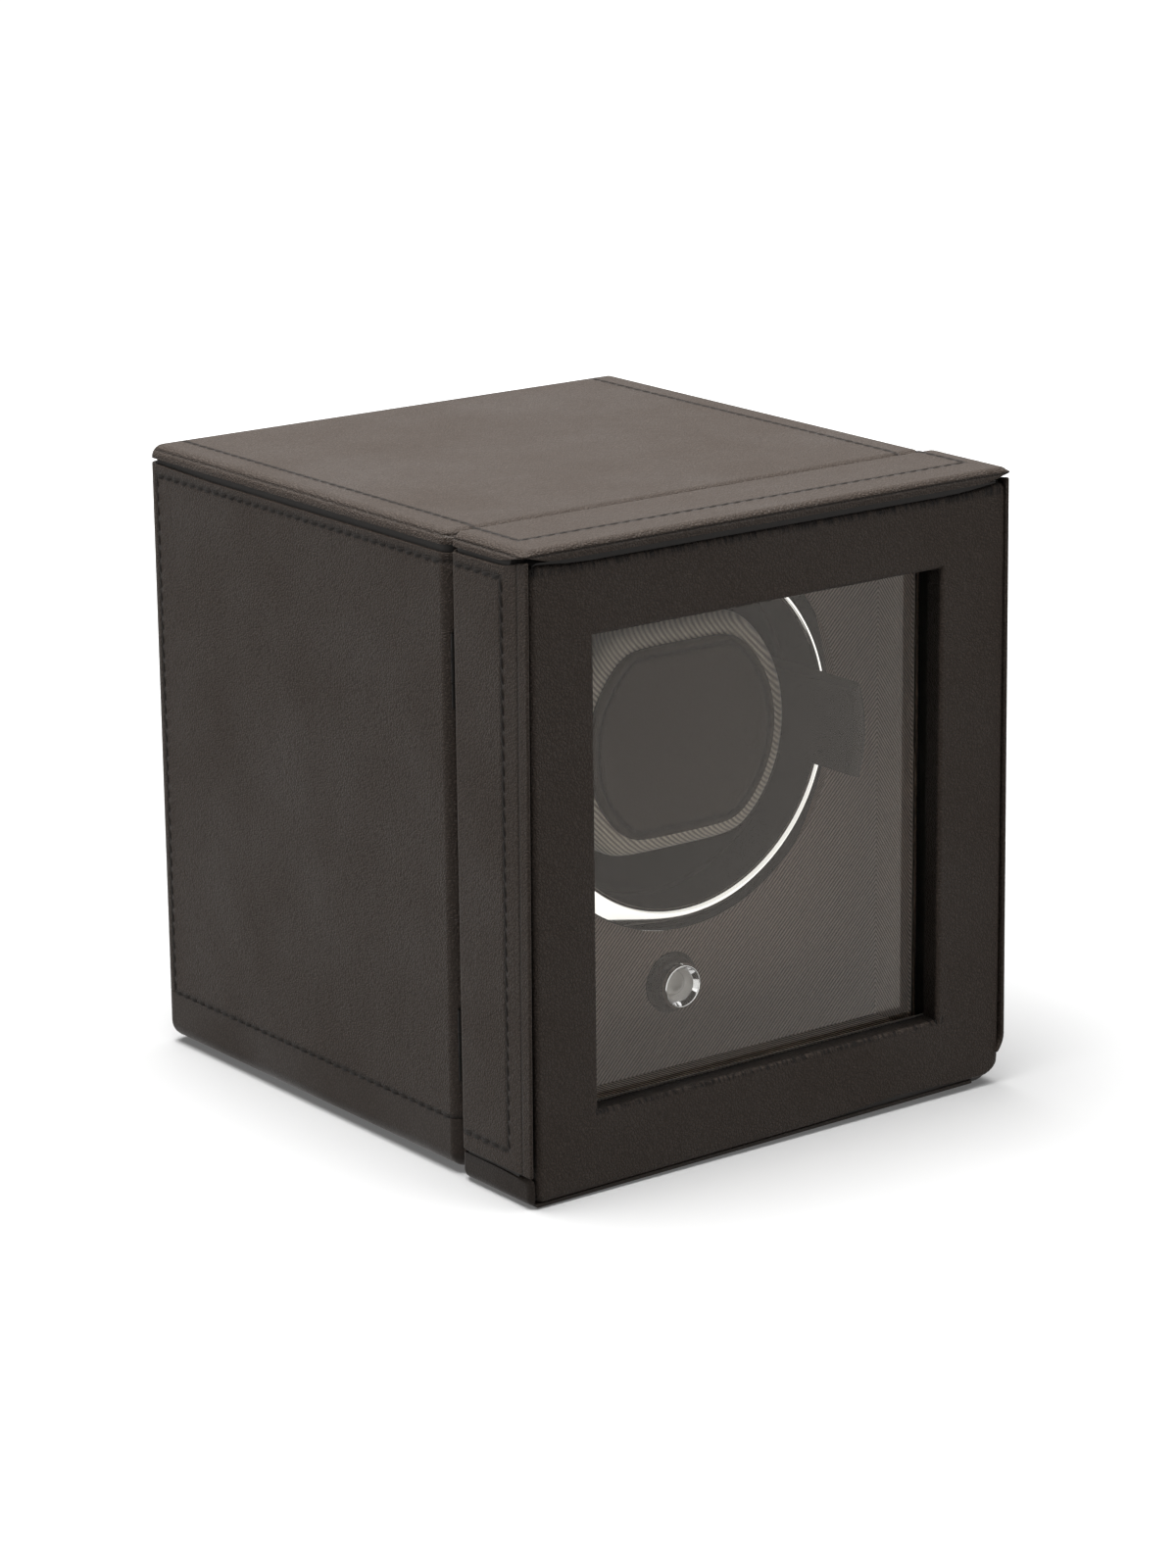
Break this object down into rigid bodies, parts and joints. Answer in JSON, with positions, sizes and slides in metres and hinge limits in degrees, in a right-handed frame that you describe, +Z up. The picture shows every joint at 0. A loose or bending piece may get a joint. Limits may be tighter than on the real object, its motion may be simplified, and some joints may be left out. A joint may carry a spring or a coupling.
{
  "type": "watch winder",
  "caption": "Desktop watch winder in stitched leatherette with a side-hinged glazed door, a geared rotating drum in a bright ring, and a removable twill cuff with a finger grip.",
  "frame": {"origin": "on the table under the middle of the winder, midway across its width and depth", "axes": "+X to the viewer's right when facing the glass, +Y from the glass to the back, +Z up"},
  "size_m": [0.134, 0.146, 0.1435],
  "materials": {
    "board": "matt fibreboard",
    "leatherette": "dark brown pebble grain, satin",
    "twill": "taupe twill weave",
    "cushion_twill": "taupe twill weave with a sheen",
    "dark_cloth": "matt",
    "chrome": "polished",
    "clear_lens": "clear epoxy",
    "rubber": "matt",
    "hinge_metal": "dark bronze lacquer",
    "steel": "satin",
    "bronze": "sintered bronze",
    "moulded_plastic": "fine texture",
    "gloss_black": "gloss",
    "gear_nylon": "natural nylon",
    "circuit": "solder mask",
    "glass": "clear float glass"
  },
  "bodies": {
    "case": {"case_top_board": "board", "case_bottom_board": "board", "case_left_board": "board", "case_right_board": "board", "case_back_board": "board", "case_top_skin": "leatherette", "case_bottom_skin": "leatherette", "case_left_skin": "leatherette", "case_right_skin": "leatherette", "case_back_skin": "leatherette", "liner_frame": "twill", "fascia_panel": "twill", "bezel_ring": "chrome", "led_bezel": "chrome", "led_lamp": "clear_lens", "base_feet": "rubber", "hinge_leaves_case": "hinge_metal", "hinge_screws_case": "hinge_metal", "catch_plates": "steel", "drive_chassis": "moulded_plastic", "drive_screws": "steel", "drum_bush": "bronze", "idler_pin": "steel", "gearbox_case": "moulded_plastic", "motor_can": "steel", "circuit_board": "circuit", "power_jack": "gloss_black", "switch_body": "gloss_black", "battery_tray": "moulded_plastic", "battery_contacts": "steel"},
    "door": {"door_top_board": "board", "door_bottom_board": "board", "door_left_board": "board", "door_right_board": "board", "door_top_skin": "leatherette", "door_left_skin": "leatherette", "door_right_skin": "leatherette", "door_bottom_skin": "leatherette", "door_front_panel": "board", "door_front_skin": "leatherette", "door_lining": "dark_cloth", "glass_pane": "glass", "glass_retainer": "moulded_plastic", "catch_magnets": "steel", "hinge_leaves_door": "hinge_metal", "hinge_pins": "hinge_metal", "hinge_screws_door": "hinge_metal"},
    "drum": {"drum_cup": "moulded_plastic", "drum_shaft": "steel", "drive_gear": "gear_nylon", "shaft_clip": "steel"},
    "cuff": {"cuff_tray": "moulded_plastic", "cuff_grip": "gloss_black", "cuff_wing": "gloss_black", "cuff_cushion": "cushion_twill", "cuff_patch": "leatherette"},
    "idler": {"idler_gear": "gear_nylon"},
    "pinion": {"motor_pinion": "gear_nylon"},
    "rocker": {"switch_rocker": "gloss_black"},
    "lid": {"battery_lid": "moulded_plastic"}
  },
  "joints": [
    {"name": "door_hinge", "type": "hinge", "parent": "case", "child": "door", "pos_m": [-0.0645, -0.0458, 0], "axis": [0, 0, -1], "range_deg": [0, 100]},
    {"name": "drum_spin", "type": "hinge", "parent": "case", "child": "drum", "pos_m": [0, 0, 0.0862], "axis": [0, 1, 0], "continuous": true},
    {"name": "cuff_twist", "type": "hinge", "parent": "drum", "child": "cuff", "pos_m": [0, 0, 0.0862], "axis": [0, -1, 0], "range_deg": [0, 38]},
    {"name": "idler_spin", "type": "hinge", "parent": "case", "child": "idler", "pos_m": [0.00468, 0, 0.04809], "axis": [0, 1, 0], "continuous": true},
    {"name": "pinion_spin", "type": "hinge", "parent": "case", "child": "pinion", "pos_m": [0.00244, 0, 0.02982], "axis": [0, 1, 0], "continuous": true},
    {"name": "rocker_tilt", "type": "hinge", "parent": "case", "child": "rocker", "pos_m": [-0.012, 0.069, 0.109], "axis": [1, 0, 0], "range_deg": [-8, 8]},
    {"name": "lid_hinge", "type": "hinge", "parent": "case", "child": "lid", "pos_m": [0, 0.0713, 0.0162], "axis": [-1, 0, 0], "range_deg": [0, 95]}
  ],
  "couplings": [
    {"joint": "idler_spin", "follows": "drum_spin", "ratio": -2},
    {"joint": "pinion_spin", "follows": "drum_spin", "ratio": 4.5714}
  ]
}
